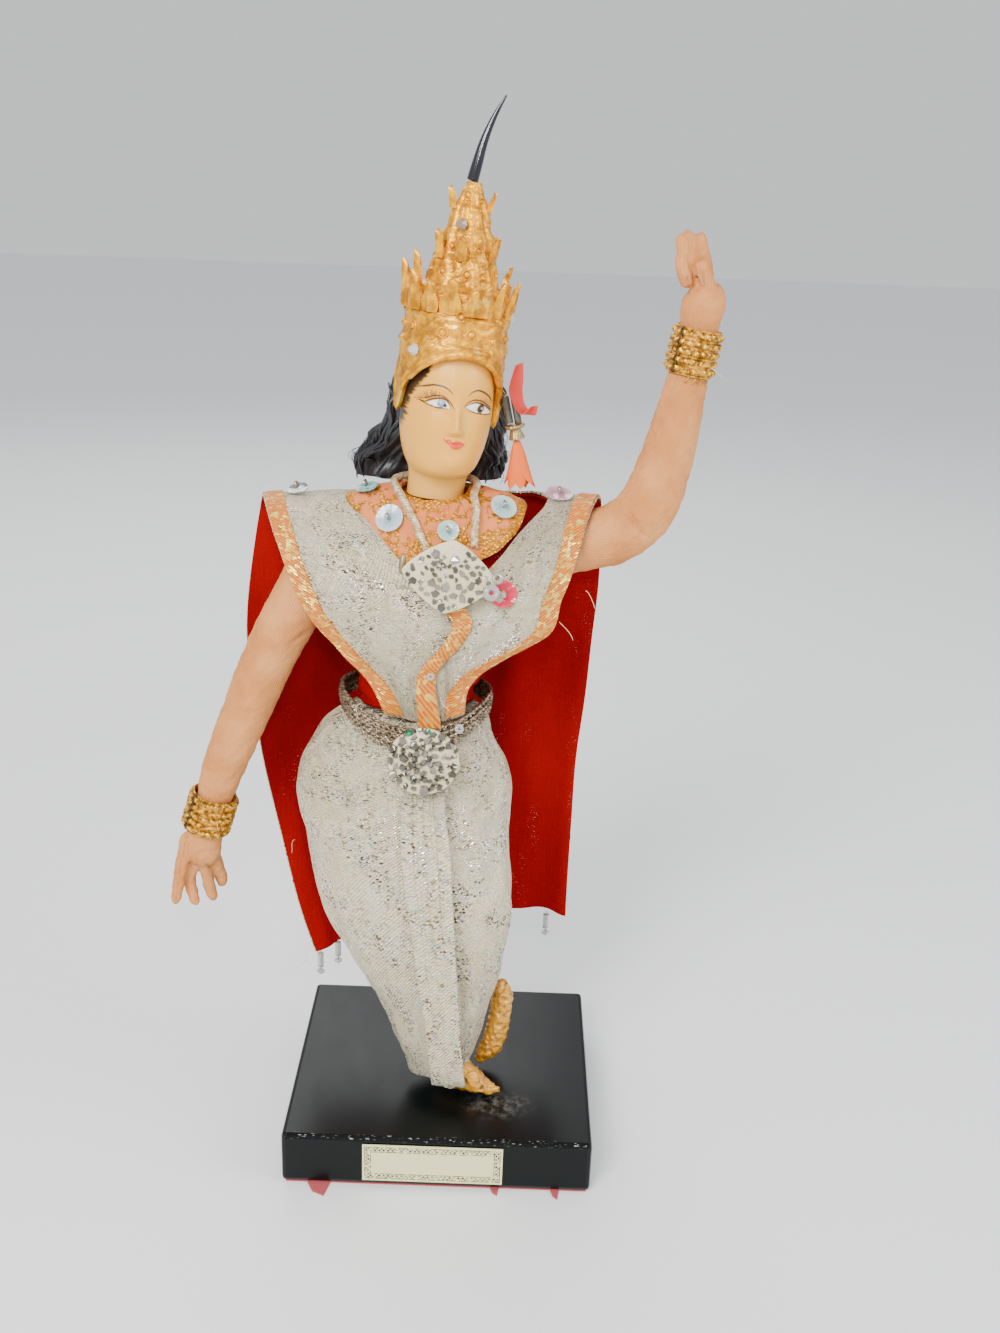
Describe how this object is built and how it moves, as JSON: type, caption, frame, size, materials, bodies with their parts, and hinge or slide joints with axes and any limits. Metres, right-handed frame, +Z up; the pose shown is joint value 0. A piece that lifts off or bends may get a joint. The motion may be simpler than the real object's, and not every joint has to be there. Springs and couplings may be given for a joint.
{
  "type": "dancer doll",
  "caption": "Stuffed cloth dancer in silver brocade with a red-lined cape, tall gilt crown and one arm raised, on a black block.",
  "frame": {"origin": "centre of the block's underside, on the surface it stands on", "axes": "+Z up; the figure faces -Y, its raised arm towards +X"},
  "size_m": [0.1383, 0.0785, 0.2815],
  "materials": {
    "silver_brocade": "woven with metallic thread",
    "red_cotton": "matt plain weave",
    "gold_ribbon": "glittering ribbon",
    "peach_knit": "fine stretched knit",
    "gilt": "gold paint on moulded relief",
    "gold_foil": "crumpled metallic foil",
    "gold_braid": "metallic braid",
    "dark_braid": "tarnished metallic braid",
    "orange_felt": "felt with glitter",
    "pale_sequin": "pearly",
    "grey_glass": "clear and smoky",
    "chip_plate": "cream plate set with glassy chips",
    "painted_face": "satin paint",
    "black_hair": "glossy fibre",
    "black_lacquer": "semi-gloss black paint",
    "pale_foil": "printed foil",
    "old_brass": "tarnished",
    "orange_petal": "matt"
  },
  "bodies": {
    "root": {"base_block": "black_lacquer", "crown_horn": "black_lacquer", "base_label": "pale_foil", "base_felt": "red_cotton", "torso": "red_cotton", "shawl_lining": "red_cotton", "ear_ribbon": "red_cotton", "front_shoe": "gold_foil", "back_shoe": "gold_foil", "trousers": "silver_brocade", "pleat_panel": "silver_brocade", "shawl_brocade": "silver_brocade", "shawl_trim_left": "gold_ribbon", "shawl_trim_right": "gold_ribbon", "shawl_trim_hem": "gold_ribbon", "front_strip": "gold_ribbon", "belt": "dark_braid", "buckle": "chip_plate", "pendant": "chip_plate", "collar": "orange_felt", "sequin_1": "pale_sequin", "sequin_2": "pale_sequin", "sequin_3": "pale_sequin", "sequin_4": "pale_sequin", "sequin_5": "pale_sequin", "sequin_6": "pale_sequin", "sequin_7": "pale_sequin", "sequin_1_bead": "grey_glass", "sequin_2_bead": "grey_glass", "sequin_3_bead": "grey_glass", "sequin_4_bead": "grey_glass", "sequin_5_bead": "grey_glass", "sequin_6_bead": "grey_glass", "sequin_7_bead": "grey_glass", "hip_bead": "grey_glass", "belt_bead": "grey_glass", "front_pearl": "grey_glass", "pendant_beads": "grey_glass", "ear_bugle_1": "grey_glass", "ear_bugle_2": "grey_glass", "crown_stone_1": "grey_glass", "crown_stone_2": "grey_glass", "crown_stone_3": "grey_glass", "cape_drop_1": "grey_glass", "cape_drop_2": "grey_glass", "cape_drop_3": "grey_glass", "necklace_cord": "gold_braid", "left_cuff": "gold_braid", "right_cuff": "gold_braid", "head": "painted_face", "hair": "black_hair", "crown": "gilt", "tassel_cap": "old_brass", "tassel_petals": "orange_petal", "left_arm": "peach_knit", "right_arm": "peach_knit"}
  },
  "joints": []
}
